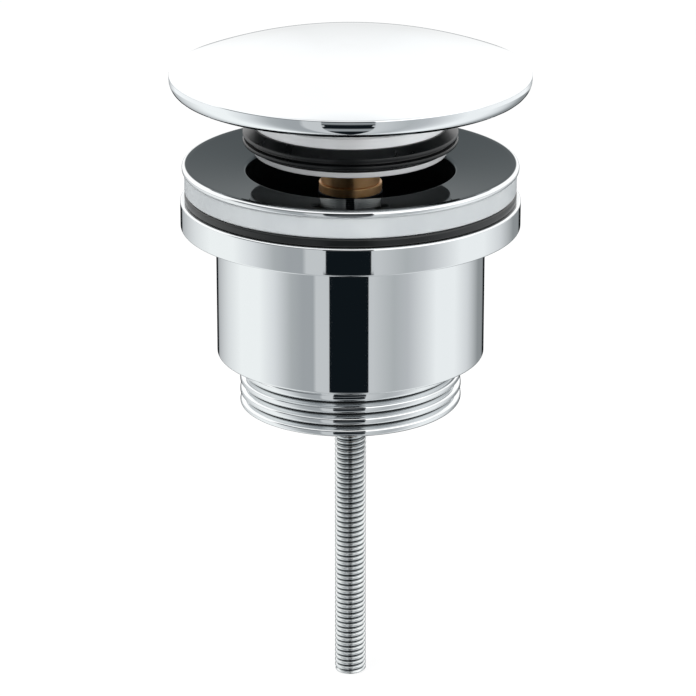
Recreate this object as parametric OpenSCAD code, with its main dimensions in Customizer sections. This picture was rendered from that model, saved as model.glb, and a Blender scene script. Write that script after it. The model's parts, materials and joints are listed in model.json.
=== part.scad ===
// Pop up basin waste: a click plug over a dished flange, and a lower body drawn up by a long screw.
// Millimetres, +Z up. The origin is on the axis at the underside of the flange gasket,
// which is where the surface of the basin lies. The plug is drawn open.

/* [Plug] */
// Diameter of the cap
cap_d = 67.2; // [58:0.2:80]
// Height of the dome above the cap's edge
dome_h = 6.4; // [5:0.1:9]
// Height of the cap's rim
rim_h = 3.7; // [3.2:0.1:5]
// Rounding of the rim's lower edge
rim_r = 2.6; // [1:0.1:3]
// Rounding of the edge between dome and rim
brow_r = 0.2; // [0.1:0.1:1]
// Thickness of the cap's shell
cap_wall = 2.4; // [1.6:0.1:3]
// Metal left above the threaded insert
crown_t = 3.2; // [2.4:0.1:4]
// Wall of the boss round the threaded insert
boss_wall = 2; // [1.5:0.1:3]
// Bare height of the collar between the seal and the cap
collar_h = 6.2; // [4.5:0.1:9]
// Height of the collar's wide band above the seal
collar_band = 1.9; // [1:0.1:3]
// Step from that band in to the collar's neck
collar_step = 0.4; // [0.2:0.05:1]
// Wall of the collar
collar_wall = 2.5; // [1.8:0.1:4]
// Thickness of the collar's floor
collar_floor_t = 1.5; // [1:0.1:2.5]
// How far the collar reaches up into the cap
collar_seat = 1.2; // [0.6:0.1:2]
// Height of the tenon that centres the collar in the cap
tenon_h = 2; // [1:0.1:2.4]
// Height of the bright ring below the seal
ring_h = 1.1; // [0.8:0.1:3]
// Gap between the plug's ring and the throat
ring_gap = 1.35; // [0.5:0.05:3]
// Lift of the plug from closed to open
plug_lift = 5; // [3.5:0.1:9]
// Gap between the plug's well and the hub that it drops over
well_gap = 0.9; // [0.5:0.1:2]

/* [Seal] */
// Height of the seal
seal_h = 4.3; // [3.8:0.1:6]
// Height of the lip's lower edge above the seal's foot
lip_rise = 0.9; // [0.6:0.1:1.4]
// Thickness of the lip
lip_t = 0.85; // [0.5:0.05:1]
// How far the lip reaches past the edge of the throat
lip_reach = 0.65; // [0.4:0.05:1.5]
// Height of the notch between the lip and the shoulder above it
notch_h = 0.65; // [0.4:0.05:0.9]
// Depth of that notch
notch_depth = 0.9; // [0.4:0.1:1.2]
// Height of the upright part of the shoulder
shoulder_h = 0.6; // [0.2:0.1:0.9]
// Depth of the seal's groove in the plug
groove_depth = 2; // [1:0.1:2.5]

/* [Flange] */
// Diameter of the flange
flange_d = 63; // [58:0.2:72]
// Height of the flange's rim above its gasket
flange_rim = 1.25; // [1:0.05:2]
// Rounding of the rim
flange_round = 0.65; // [0.4:0.05:0.8]
// How far the rounding wraps under the rim, in degrees
rim_wrap = 50; // [20:1:80]
// Diameter of the throat
throat_d = 38.8; // [36:0.1:42]
// Depth of the dish from the rim to the edge of the throat
dish_depth = 1.2; // [0.6:0.05:3]
// Chamfer at the edge of the throat
throat_edge = 0.7; // [0.3:0.1:1]
// Wall of the neck
neck_wall = 2.6; // [1.8:0.1:3.5]
// Length of the neck below the surface of the basin
neck_l = 12; // [9:0.5:16]
// Height of the flange gasket at its outer edge
flange_gasket_h = 4; // [3:0.1:6]
// How far the gaskets stand back from the flange's edge
gasket_inset = 0.5; // [0.2:0.1:2]

/* [Lower body] */
// How far the lower flange reaches past the upper one
lower_overhang = 0.3; // [0:0.1:2]
// Thickness of the lower flange
lower_flange_t = 5.3; // [4:0.1:8]
// Rounding of the lower flange's edges
lower_edge_r = 0.5; // [0.3:0.1:1.8]
// Height of the body below its flange
body_h = 24.8; // [22:0.1:30]
// Wall of the body
body_wall = 2.7; // [2:0.1:4]
// Thickness of the body's floor
floor_t = 2.6; // [2:0.1:4]
// Rounding of the body's lower edge
body_edge_r = 0.5; // [0.3:0.1:2.4]
// Gap between the neck and the body's bore
neck_gap = 0.5; // [0.3:0.05:1]
// Outer diameter of the tail's pipe thread
tail_d = 41.91; // [38:0.01:46]
// Length of the tail
tail_l = 10.2; // [8:0.1:20]
// Wall of the tail
tail_wall = 2.9; // [2:0.1:4]
// Chamfer at the end of the tail
tail_chamfer = 0.6; // [0.2:0.1:1]
// Thickness of the lower gasket
lower_gasket_h = 1.6; // [1:0.1:4]

/* [Spiders] */
// Number of arms in each spider
arm_n = 4; // [3:1:6]
// Thickness of an arm
arm_w = 2.4; // [1.6:0.1:3.2]
// Height of an arm
arm_h = 6.5; // [4:0.1:8]
// Fall of an arm's top from the hub to the wall
arm_fall = 1.6; // [0:0.1:3]
// Turn of the first arm from the X axis, in degrees
arm_turn = 45; // [0:1:90]
// Diameter of each spider's hub
spider_hub_d = 16; // [15:0.1:18]
// Wall of the upper hub at its top
hub_wall = 0.95; // [0.7:0.05:1.5]
// Depth of the upper hub's top below the edge of the throat
hub_sink = 4.15; // [3:0.05:5]
// Height of the upper hub's slim top
hub_neck = 3.6; // [2:0.1:5]
// Thickness of the floor that the screw's head pulls on
hub_floor = 2.8; // [2:0.1:4]
// Gap between the two spiders when the body is drawn right up
spider_gap = 2; // [1:0.1:3]

/* [Click cartridge] */
// Bore of the barrel
barrel_bore_d = 8.6; // [8:0.1:9.6]
// Wall of the barrel under its thread
barrel_wall = 0.7; // [0.5:0.05:1]
// Height of the lip that closes the barrel's foot
barrel_lip_t = 0.6; // [0.4:0.1:1]
// Height of the collar that sits on the hub
barrel_collar_h = 1.65; // [1:0.05:3]
// Height of the spigot above that collar
barrel_spigot_h = 2.9; // [2:0.1:3.5]
// Wall of the spigot
barrel_spigot_wall = 0.55; // [0.4:0.05:0.7]
// Height of the barrel's cap
barrel_cap_h = 8.45; // [7.6:0.05:9.5]
// Wall of the barrel's cap
barrel_cap_wall = 1.18; // [0.9:0.02:1.5]
// Thickness of the cap's end wall
barrel_end_t = 1.6; // [1:0.1:2]
// Diameter of the plunger
plunger_d = 5; // [4.4:0.1:5.2]
// Chamfer at both ends of the plunger
plunger_chamfer = 0.5; // [0.2:0.1:0.8]
// Diameter of the plunger's foot, which the rotor turns on
spigot_d = 4; // [3:0.1:4.2]
// Height of the wiper ring
wiper_h = 1.4; // [1:0.1:1.8]
// Height of the cam sleeve above its teeth
cam_h = 6.5; // [6:0.1:8]
// Thickness of the flange that holds the cam sleeve
cam_flange_t = 0.7; // [0.5:0.1:1]
// Number of teeth on the cam and on the rotor
tooth_n = 8; // [6:1:12]
// Height of the teeth
tooth_h = 1.5; // [0.8:0.1:2]
// Gap between the teeth of the cam and of the rotor
mesh_gap = 0.15; // [0.1:0.05:0.3]
// Turn of the rotor's teeth from the cam's, in degrees
mesh_turn = 2; // [1:0.5:5]
// Thickness of the rotor below its teeth
rotor_t = 1.8; // [1.2:0.1:3]
// Thickness of the thrust washer
thrust_t = 0.8; // [0.5:0.1:1.5]
// Wire of the return spring
spring_wire = 0.7; // [0.5:0.05:0.9]
// Turns of the return spring
spring_turns = 6; // [5:1:8]
// Length that the spring has left when the plug is down
spring_spare = 3.3; // [0.7:0.1:5]
// Gap between the closed coils at the spring's ends
coil_gap = 0.04; // [0.02:0.01:0.1]
// Gap between the spring and the barrel
spring_gap = 0.6; // [0.4:0.05:0.9]
// Thickness of the spring's seat
seat_t = 1.6; // [1:0.1:3]
// Diameter of the hole in the spring's seat
seat_hole_d = 3; // [1:0.1:4]
// Height of the plunger's lock nut
nut_h = 2; // [1.6:0.1:2.4]
// Width of the lock nut across its flats
nut_af = 8; // [7.5:0.1:9]
// Diameter of the plug's threaded insert
insert_d = 9; // [8:0.1:10]

/* [Clamp screw] */
// Diameter of the clamp screw
screw_d = 6; // [5:0.1:6.4]
// Length of the clamp screw under its head
screw_l = 73.6; // [62:0.1:110]
// Height of the screw's head
head_h = 4.6; // [3:0.1:6]
// Width of the key socket across its flats
socket_af = 5; // [3:0.1:5.5]
// Depth of the key socket
socket_depth = 2.8; // [1.5:0.1:2.9]
// Chamfer at the screw's end
screw_chamfer = 0.6; // [0.2:0.1:1]
// Thickness of the washer under the head
screw_washer_t = 0.8; // [0.5:0.1:1.6]
// Thickness of the seal under that washer
screw_seal_t = 0.8; // [0.5:0.1:1.6]
// Diameter of the threaded bush
bush_d = 10; // [9:0.1:11]
// Diameter of the bush's foot
bush_foot_d = 13; // [12:0.1:14]
// Thickness of the bush's foot
bush_foot_t = 1.2; // [0.8:0.1:2]

/* [Fits] */
// Running clearance on a radius
fit_gap = 0.05; // [0.02:0.01:0.1]
// Clear space between pieces that pass each other
pass_gap = 0.3; // [0.2:0.05:0.5]
// Clear space left over the cartridge when the plug is down
top_gap = 0.6; // [0.4:0.1:1]
// Clear space left for fitting a piece with a tool
tool_gap = 1.4; // [1:0.1:3]
// Chamfer on turned edges
edge_break = 0.3; // [0.1:0.05:0.5]

/* [Hidden] */
round_fn = 96;
arc_steps = 10;
small_steps = 6;
overcut = 1;

// Flange and throat
flange_r = flange_d / 2;
throat_r = throat_d / 2;
neck_r = throat_r + neck_wall;
flange_top = flange_gasket_h + flange_rim;
dish_r = flange_r - flange_round;
hole_z = flange_top - dish_depth;
gasket_r = flange_r - gasket_inset;
gasket_bore_r = neck_r + pass_gap;

// Plug, from the seal's lip upwards
lip_r = throat_r + lip_reach;
lip_z = dish_z(lip_r) + pass_gap + plug_lift;
seal_z = lip_z - lip_rise;
seal_top = seal_z + seal_h;
ring_z = seal_z - ring_h;
collar_r = throat_r - ring_gap;
groove_r = collar_r - groove_depth;
collar_bore_r = collar_r - collar_wall;
band_top = seal_top + collar_band;
collar_neck_r = collar_r - collar_step;
cap_z = seal_top + collar_h;
seat_z = cap_z + collar_seat;
cap_r = cap_d / 2;
brow_z = cap_z + rim_h;
apex_z = brow_z + dome_h;
dome_edge_r = cap_r - brow_r;
dome_r = (pow(dome_edge_r, 2) + pow(dome_h, 2)) / (2 * dome_h);
brow_angle = 90 - asin(dome_edge_r / dome_r);
lip_edge_r = cap_r - rim_r - cap_wall / 2;

// Cartridge, from the hub's top in both directions
hub_z = hole_z - hub_sink;
bore_r = barrel_bore_d / 2;
thread_r = bore_r + barrel_wall;
hub_bore_r = thread_r + fit_gap;
hub_r = hub_bore_r + hub_wall;
barrel_collar_top = hub_z + barrel_collar_h;
barrel_spigot_r = bore_r + barrel_spigot_wall;
barrel_cap_r = bore_r + barrel_cap_wall;
barrel_top = barrel_collar_top + barrel_cap_h;
cam_flange_z = barrel_collar_top + barrel_spigot_h;
plunger_r = plunger_d / 2;
spigot_r = spigot_d / 2;
wiper_top = barrel_top - barrel_end_t;
cam_top = wiper_top - wiper_h;
cam_root = cam_top - cam_h;
cam_tip = cam_root - tooth_h;
rotor_top = cam_tip - mesh_gap;
rotor_z = rotor_top - rotor_t;
rotor_r = bore_r - pass_gap;
thrust_top = rotor_z - fit_gap;
thrust_z = thrust_top - thrust_t;
spigot_z = thrust_z - spigot_r;
spring_l = plug_lift + spring_turns * spring_wire + spring_spare;
spring_r = bore_r - spring_gap - spring_wire / 2;
seat_top = thrust_z - spring_l;
seat_foot = seat_top - seat_t;
barrel_foot = seat_foot - barrel_lip_t;

// Plug's threaded insert, which the barrel has to clear when the plug is down
nut_z = barrel_top + plug_lift + top_gap;
insert_z = nut_z + nut_h;
insert_top = apex_z - crown_t;
insert_r = insert_d / 2;
boss_r = insert_r + boss_wall;
plunger_top = insert_top - top_gap;

// Clamp screw in the upper hub
screw_r = screw_d / 2;
head_r = hub_bore_r - pass_gap;
head_top = barrel_foot - tool_gap;
head_z = head_top - head_h;
washer_z = head_z - screw_washer_t;
shoulder_z = washer_z - screw_seal_t;
hub_foot = shoulder_z - hub_floor;
screw_end = head_z - screw_l;

// Lower body
body_bore_r = neck_r + neck_gap;
body_r = body_bore_r + body_wall;
lower_flange_r = flange_r + lower_overhang;
lower_top = -lower_gasket_h;
lower_flange_z = lower_top - lower_flange_t;
body_z = lower_flange_z - body_h;
tail_r = tail_d / 2;
tail_bore_r = tail_r - tail_wall;
tail_z = body_z - tail_l;
lower_spider_top = hub_foot - spider_gap;
spider_hub_r = spider_hub_d / 2;
bush_z = lower_spider_top - arm_h;

// Height of the dished face at radius r
function dish_z(r) = hole_z + dish_depth * (r - throat_r) / (dish_r - throat_r);
// Height of the flange's underside at radius r
function under_z(r) = dish_z(r) - flange_rim;
// Height of the dome at radius r
function dome_z(r) = apex_z - dome_r + sqrt(pow(dome_r, 2) - pow(r, 2));
// Points on an arc in the profile plane, from angle a to angle b
function arc(x, y, r, a, b, n = arc_steps) =
    [for (i = [0 : n]) [x + r * cos(a + (b - a) * i / n), y + r * sin(a + (b - a) * i / n)]];

// Distance over the corners of a hexagon with width af across its flats
function hexagon_d(af) = af / cos(30);

// A solid of revolution from its half section
module turned(section) {
    rotate_extrude($fn = round_fn) polygon(section);
}

// A plain ring from z0 to z1
module ring(inner_r, outer_r, z0, z1) {
    turned([[inner_r, z0], [outer_r, z0], [outer_r, z1], [inner_r, z1]]);
}

// A round bar or hole from z0 to z1
module bar(r, z0, z1) {
    translate([0, 0, z0]) cylinder(r = r, h = z1 - z0, $fn = round_fn);
}

// Saw teeth that point up from z, with their upright flanks at each sector's start
module saw_crown(z, base) {
    step = 360 / tooth_n;
    reach = 2 * bore_r;
    run = rotor_r * sin(step);
    for (i = [0 : tooth_n - 1]) rotate(i * step) translate([0, 0, z]) intersection() {
        translate([0, 0, -base]) linear_extrude(base + tooth_h)
            polygon([[0, 0], [reach, 0], [reach * cos(step), reach * sin(step)]]);
        rotate([90, 0, 90]) linear_extrude(reach)
            polygon([[-run, -base], [reach, -base], [reach, 0], [run, 0], [0, tooth_h], [-run, tooth_h]]);
    }
}

// Spider arms from the hub to radius outer_r, sloping down to the wall
module arms(outer_r, z0, z1) {
    for (i = [0 : arm_n - 1]) rotate(arm_turn + i * 360 / arm_n) rotate([90, 0, 0])
        translate([0, 0, -arm_w / 2]) linear_extrude(arm_w)
            polygon([[hub_bore_r + hub_wall / 2, z0], [outer_r, z0], [outer_r, z1 - arm_fall],
                [hub_bore_r + hub_wall / 2, z1]]);
}

// Mushroom cap: dome, rounded rim, hollow underside, skirt for the spool and boss for the insert
module plug_cap() {
    dome_steps = 16;
    color("gainsboro") difference() {
        union() {
            turned(concat(
                [for (i = [0 : dome_steps]) let (r = dome_edge_r * i / dome_steps) [r, dome_z(r)]],
                arc(cap_r - brow_r, brow_z - brow_r, brow_r, brow_angle, 0, small_steps),
                arc(cap_r - rim_r, cap_z + rim_r, rim_r, 0, -90),
                [[lip_edge_r, cap_z]],
                [for (i = [dome_steps : -1 : 0]) let (r = lip_edge_r * i / dome_steps)
                    [r, dome_z(r) - cap_wall]]
            ));
            turned([[collar_bore_r, seat_z], [collar_neck_r, seat_z],
                [collar_neck_r, dome_z(collar_neck_r) - cap_wall / 2],
                [collar_bore_r, dome_z(collar_bore_r) - cap_wall / 2]]);
            bar(boss_r, insert_z, apex_z - cap_wall / 2);
        }
        bar(insert_r + fit_gap, insert_z - overcut, insert_top);
    }
}

// Collar under the cap, with the seal's groove, the bright ring and a well that clears the cartridge
module plug_spool() {
    well_r = hub_r + well_gap;
    floor_z = seal_top + collar_floor_t;
    tenon_r = collar_bore_r - fit_gap;
    tenon_top = seat_z + tenon_h;
    color("gainsboro") turned([
        [well_r, ring_z], [collar_r - edge_break, ring_z], [collar_r, ring_z + edge_break],
        [collar_r, seal_z], [groove_r, seal_z], [groove_r, seal_top], [collar_r, seal_top],
        [collar_r, band_top], [collar_neck_r, band_top + collar_step], [collar_neck_r, seat_z],
        [tenon_r, seat_z], [tenon_r, tenon_top], [tenon_r - collar_wall / 2, tenon_top],
        [tenon_r - collar_wall / 2, floor_z], [well_r, floor_z]
    ]);
}

// Rubber seal: a band in the groove, a round lip, and over a notch a shoulder that slopes in to the top
module plug_seal() {
    foot_r = collar_r + lip_reach / 2;
    round_r = lip_t / 2;
    notch_r = lip_r - notch_depth;
    brim_z = lip_z + lip_t + notch_h;
    color("#1a1c1d") turned(concat(
        [[groove_r + fit_gap, seal_z], [foot_r, seal_z], [foot_r, lip_z]],
        arc(lip_r - round_r, lip_z + round_r, round_r, -90, 90, small_steps),
        [[notch_r, lip_z + lip_t], [notch_r, brim_z], [lip_r, brim_z], [lip_r, brim_z + shoulder_h],
            [foot_r, seal_top], [groove_r + fit_gap, seal_top]]
    ));
}

// Brass insert that the plunger screws into
module plug_insert() {
    color("darkgoldenrod") ring(plunger_r + fit_gap, insert_r, insert_z, insert_top);
}

// Thin nut that locks the plunger under the insert
module plunger_nut() {
    color("goldenrod") difference() {
        translate([0, 0, nut_z]) cylinder(d = hexagon_d(nut_af), h = nut_h, $fn = 6);
        bar(plunger_r + fit_gap, nut_z - overcut, insert_z + overcut);
    }
}

// Plunger: the plug's stem, with a thinner foot for the rotor and the thrust washer
module plunger() {
    color("goldenrod") turned([
        [0, spigot_z], [spigot_r - plunger_chamfer, spigot_z], [spigot_r, spigot_z + plunger_chamfer],
        [spigot_r, rotor_top + fit_gap], [plunger_r, rotor_top + fit_gap],
        [plunger_r, plunger_top - plunger_chamfer], [plunger_r - plunger_chamfer, plunger_top],
        [0, plunger_top]
    ]);
}

// Washer that is fixed on the plunger's foot, holds the rotor and takes the spring
module thrust_washer() {
    color("silver") ring(spigot_r + fit_gap / 2, rotor_r, thrust_z, thrust_top);
}

// Rotor that steps round: saw teeth point up at the cam, and its bore runs on the plunger's foot
module index_rotor() {
    color("ivory") difference() {
        union() {
            bar(rotor_r, rotor_z, rotor_top);
            rotate(mesh_turn) intersection() {
                saw_crown(rotor_top, rotor_t / 2);
                bar(rotor_r, rotor_z, cam_root);
            }
        }
        bar(spigot_r + fit_gap, rotor_z - overcut, rotor_top + overcut);
        bar(plunger_r + pass_gap, rotor_top, cam_root + overcut);
    }
}

// Cam sleeve: fixed in the barrel by its flange, with saw teeth that point down at the rotor
module cam_sleeve() {
    color("ivory") difference() {
        union() {
            ring(plunger_r + pass_gap, bore_r - fit_gap, cam_tip, cam_top);
            ring(plunger_r + pass_gap, barrel_spigot_r, cam_flange_z, cam_flange_z + cam_flange_t);
        }
        saw_crown(cam_tip, tooth_h);
    }
}

// Rubber ring that wipes the plunger under the barrel cap's end wall
module plunger_wiper() {
    color("#1a1c1d") ring(plunger_r + fit_gap, bore_r - fit_gap, cam_top, wiper_top);
}

// Upper sleeve of the cartridge, screwed down over the barrel's spigot
module barrel_cap() {
    cam_flange_top = cam_flange_z + cam_flange_t + fit_gap;
    color("peru") turned([
        [barrel_spigot_r + fit_gap, barrel_collar_top], [barrel_cap_r, barrel_collar_top],
        [barrel_cap_r, barrel_top - edge_break], [barrel_cap_r - edge_break, barrel_top],
        [plunger_r + fit_gap, barrel_top], [plunger_r + fit_gap, wiper_top], [bore_r, wiper_top],
        [bore_r, cam_flange_top], [barrel_spigot_r + fit_gap, cam_flange_top]
    ]);
}

// Barrel of the cartridge: a threaded tail in the hub, a collar on it and a spigot for the cap
module cartridge_barrel() {
    collar_edge_r = hub_r - fit_gap * 2;
    color("peru") turned([
        [bore_r - barrel_wall, barrel_foot], [thread_r - barrel_wall / 2, barrel_foot],
        [thread_r, barrel_foot + barrel_wall / 2], [thread_r, hub_z], [collar_edge_r, hub_z],
        [collar_edge_r, barrel_collar_top - edge_break], [collar_edge_r - edge_break, barrel_collar_top],
        [barrel_spigot_r, barrel_collar_top], [barrel_spigot_r, cam_flange_z],
        [bore_r, cam_flange_z], [bore_r, seat_foot], [bore_r - barrel_wall, seat_foot]
    ]);
}

// Height of the spring's wire above the seat after a number of turns: close coils at both ends
function spring_z(turn) = let (close = spring_wire + coil_gap) lookup(turn, [
    [0, spring_wire / 2], [1, spring_wire / 2 + close],
    [spring_turns - 1, spring_l - spring_wire / 2 - close], [spring_turns, spring_l - spring_wire / 2]
]);

// Compression spring: a round wire swept along a helix
module return_spring() {
    sides = 8;
    turn_steps = 20;
    rings = spring_turns * turn_steps;
    points = [for (i = [0 : rings], j = [0 : sides - 1])
        let (a = 360 * i / turn_steps, b = 360 * j / sides, r = spring_r + spring_wire / 2 * cos(b))
        [r * cos(a), r * sin(a), seat_top + spring_z(i / turn_steps) + spring_wire / 2 * sin(b)]];
    walls = [for (i = [0 : rings - 1], j = [0 : sides - 1])
        let (k = (j + 1) % sides)
        [i * sides + j, i * sides + k, (i + 1) * sides + k, (i + 1) * sides + j]];
    start = [for (j = [sides - 1 : -1 : 0]) j];
    end = [for (j = [0 : sides - 1]) rings * sides + j];
    color("silver") polyhedron(points, concat(walls, [start, end]));
}

// Disc that the spring stands on, held by the lip at the barrel's foot
module spring_seat() {
    color("silver") ring(seat_hole_d / 2, bore_r - fit_gap, seat_foot, seat_top);
}

// Upper body: rim, dished flange, throat, neck, and a spider that carries the hub
module valve_body() {
    neck_z = -neck_l;
    flare_z = hub_z - hub_neck;
    flare_foot = flare_z - (spider_hub_r - hub_r);
    color("silver") union() {
        turned(concat(
            [[throat_r, neck_z], [neck_r - throat_edge, neck_z], [neck_r, neck_z + throat_edge],
                [neck_r, under_z(neck_r)], [flange_r - flange_round, under_z(flange_r - flange_round)]],
            arc(flange_r - flange_round, flange_top - flange_round, flange_round, -rim_wrap, 90),
            [[dish_r - flange_round, dish_z(dish_r - flange_round)],
                [throat_r + throat_edge, dish_z(throat_r + throat_edge)],
                [throat_r, dish_z(throat_r) - throat_edge]]
        ));
        difference() {
            union() {
                turned([[0, hub_foot], [spider_hub_r, hub_foot], [spider_hub_r, flare_foot],
                    [hub_r, flare_z], [hub_r, hub_z], [0, hub_z]]);
                arms(throat_r + neck_wall / 2, neck_z, neck_z + arm_h);
            }
            bar(hub_bore_r, shoulder_z, hub_z + overcut);
            bar(screw_r + pass_gap, hub_foot - overcut, shoulder_z + overcut);
        }
    }
}

// White gasket between the flange and the basin, tapered to the flange's underside
module flange_gasket() {
    color("whitesmoke") turned([
        [gasket_bore_r, 0], [gasket_r, 0], [gasket_r, under_z(gasket_r - flange_round)],
        [gasket_r - flange_round, under_z(gasket_r - flange_round)], [gasket_bore_r, under_z(gasket_bore_r)]
    ]);
}

// Rubber ring under the screw's washer
module screw_seal() {
    color("#1a1c1d") ring(screw_r + pass_gap, hub_bore_r - pass_gap, shoulder_z, washer_z);
}

// Washer under the screw's head
module screw_washer() {
    color("silver") ring(screw_r + pass_gap / 2, hub_bore_r - pass_gap / 2, washer_z, head_z);
}

// Clamp screw: socket head in the hub and a long shank with its thread's outer diameter
module clamp_screw() {
    color("silver") difference() {
        turned([
            [0, screw_end], [screw_r - screw_chamfer, screw_end], [screw_r, screw_end + screw_chamfer],
            [screw_r, head_z], [head_r, head_z], [head_r, head_top - edge_break],
            [head_r - edge_break, head_top], [0, head_top]
        ]);
        translate([0, 0, head_top - socket_depth])
            cylinder(d = hexagon_d(socket_af), h = socket_depth + overcut, $fn = 6);
    }
}

// Black gasket between the basin and the lower flange
module lower_gasket() {
    color("#1a1c1d") ring(gasket_bore_r + neck_gap, gasket_r, lower_top, 0);
}

// Outer half section of the lower body, from its top round to the end of the tail
function lower_outline() = concat(
    arc(lower_flange_r - lower_edge_r, lower_top - lower_edge_r, lower_edge_r, 90, 0, small_steps),
    arc(lower_flange_r - lower_edge_r, lower_flange_z + lower_edge_r, lower_edge_r, 0, -90, small_steps),
    [[body_r, lower_flange_z]],
    arc(body_r - body_edge_r, body_z + body_edge_r, body_edge_r, 0, -90, small_steps),
    [[tail_r, body_z], [tail_r, tail_z + tail_chamfer], [tail_r - tail_chamfer, tail_z]]
);

// Lower body: flange, cup that slides over the neck, threaded tail, and a spider for the bush
module lower_body() {
    floor_z = body_z + floor_t;
    color("silver") union() {
        turned(concat(
            lower_outline(),
            [[tail_bore_r, tail_z], [tail_bore_r, floor_z], [body_bore_r, floor_z], [body_bore_r, lower_top]]
        ));
        difference() {
            intersection() {
                union() {
                    bar(spider_hub_r, bush_z, lower_spider_top);
                    arms(body_r, bush_z, lower_spider_top);
                }
                turned(concat([[0, lower_top]], lower_outline(), [[0, tail_z]]));
            }
            bar(bush_d / 2 + fit_gap, bush_z - overcut, lower_spider_top + overcut);
        }
    }
}

// Brass bush with the screw's thread: its foot bears on the spider from below
module thread_bush() {
    foot_z = bush_z - bush_foot_t;
    color("darkgoldenrod") turned([
        [screw_r + fit_gap, foot_z], [bush_foot_d / 2, foot_z], [bush_foot_d / 2, bush_z],
        [bush_d / 2, bush_z], [bush_d / 2, lower_spider_top], [screw_r + fit_gap, lower_spider_top]
    ]);
}

plug_cap();
plug_spool();
plug_seal();
plug_insert();
plunger_nut();
plunger();
thrust_washer();
index_rotor();
cam_sleeve();
plunger_wiper();
barrel_cap();
cartridge_barrel();
return_spring();
spring_seat();
valve_body();
flange_gasket();
screw_seal();
screw_washer();
clamp_screw();
lower_gasket();
lower_body();
thread_bush();
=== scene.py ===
import json
import math

import bpy
import numpy as np
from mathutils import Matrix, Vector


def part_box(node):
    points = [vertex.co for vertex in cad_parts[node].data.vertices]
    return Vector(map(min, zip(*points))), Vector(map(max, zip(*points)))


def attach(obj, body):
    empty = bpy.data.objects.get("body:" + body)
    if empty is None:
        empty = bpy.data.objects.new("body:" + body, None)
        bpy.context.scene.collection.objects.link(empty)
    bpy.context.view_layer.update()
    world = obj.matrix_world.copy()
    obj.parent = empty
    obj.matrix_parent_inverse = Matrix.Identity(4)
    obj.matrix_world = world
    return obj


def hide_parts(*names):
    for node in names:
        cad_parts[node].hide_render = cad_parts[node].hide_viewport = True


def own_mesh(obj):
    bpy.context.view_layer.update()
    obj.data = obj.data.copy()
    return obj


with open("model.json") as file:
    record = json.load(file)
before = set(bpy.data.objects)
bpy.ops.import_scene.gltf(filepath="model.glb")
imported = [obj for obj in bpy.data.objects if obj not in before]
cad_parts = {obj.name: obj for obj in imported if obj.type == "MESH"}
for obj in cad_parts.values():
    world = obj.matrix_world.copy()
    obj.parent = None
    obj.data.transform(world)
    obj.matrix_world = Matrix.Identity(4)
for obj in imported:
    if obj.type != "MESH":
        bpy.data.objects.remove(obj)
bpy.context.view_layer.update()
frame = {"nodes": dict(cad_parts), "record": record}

# Finished surfaces of a pop up basin waste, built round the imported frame, with its studio.
# Half sections are lists of (radius, height, rounding) in millimetres. Meshes are in metres.
bodies = frame["record"]["behaviour"]["bodies"]
MM = 0.001
TINY = 1e-7

# Camera, resected from the photograph
IMAGE_PX = 696
FOCAL_PX = 3614.65
AXIS_PX = 350.5
CAMERA_BACK = 645.98
CAMERA_UP = 197.2
CAMERA_PITCH = math.radians(19.5)
SENSOR = 36

# Pipe thread on the tail and metric threads, as pitch and depth of the groove
TAIL_PITCH = 2.309
TAIL_DEPTH = 1.1
SCREW_PITCH = 1.0
SCREW_DEPTH = 0.56
BARREL_DEPTH = 0.35
ROOT = 0.15

# Colours that several finishes share, and the middle stretch of a noise that they spread over
CHROME = "#e4e6e7"
BLACK = (0.0, 0.0, 0.0, 1.0)
WHITE = (1.0, 1.0, 1.0, 1.0)
NOISE_LOW = 0.3
NOISE_HIGH = 0.7

# Widths of the soft borders between finishes, painted shade and painted dark reflection, in millimetres
BORDER = 0.1
BORE_BORDER = 0.12
SKIRT_BORDER = 0.2

# Spacing of the lathe's feed lines, and the radii over which the painted shade in the screw's thread roots
# fades into plain steel
FEED = 0.35
ROOT_SHADE_R = 2.48
ROOT_SHADE_END_R = 2.75

# Scale of a wave texture whose bands are one metre apart
METRE_WAVE = 2 * math.pi / 20

# Power of the superellipse that the spider arms have as their section
SQUARENESS = 6


def foot(node):
    """Lowest height of a node, in millimetres."""
    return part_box(node)[0].z / MM


def top(node):
    """Highest height of a node, in millimetres."""
    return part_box(node)[1].z / MM


def reach(node):
    """Largest radius of a turned node, in millimetres."""
    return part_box(node)[1].x / MM


def linear(code):
    """Linear colour of an sRGB hex value: the standard curve, with its straight foot."""
    value = np.array([int(code[i:i + 2], 16) for i in (1, 3, 5)]) / 255
    curve = np.where(value <= 0.04045, value / 12.92, ((value + 0.055) / 1.055) ** 2.4)
    return (*curve.tolist(), 1.0)


def add_node(tree, kind, inputs=None, **settings):
    """Adds a node: settings are its properties, and inputs gives sockets a value or a link."""
    node = tree.nodes.new(kind)
    for name, value in settings.items():
        setattr(node, name, value)
    for socket, value in (inputs or {}).items():
        if isinstance(value, bpy.types.NodeSocket):
            tree.links.new(value, node.inputs[socket])
        else:
            node.inputs[socket].default_value = value
    return node


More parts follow.
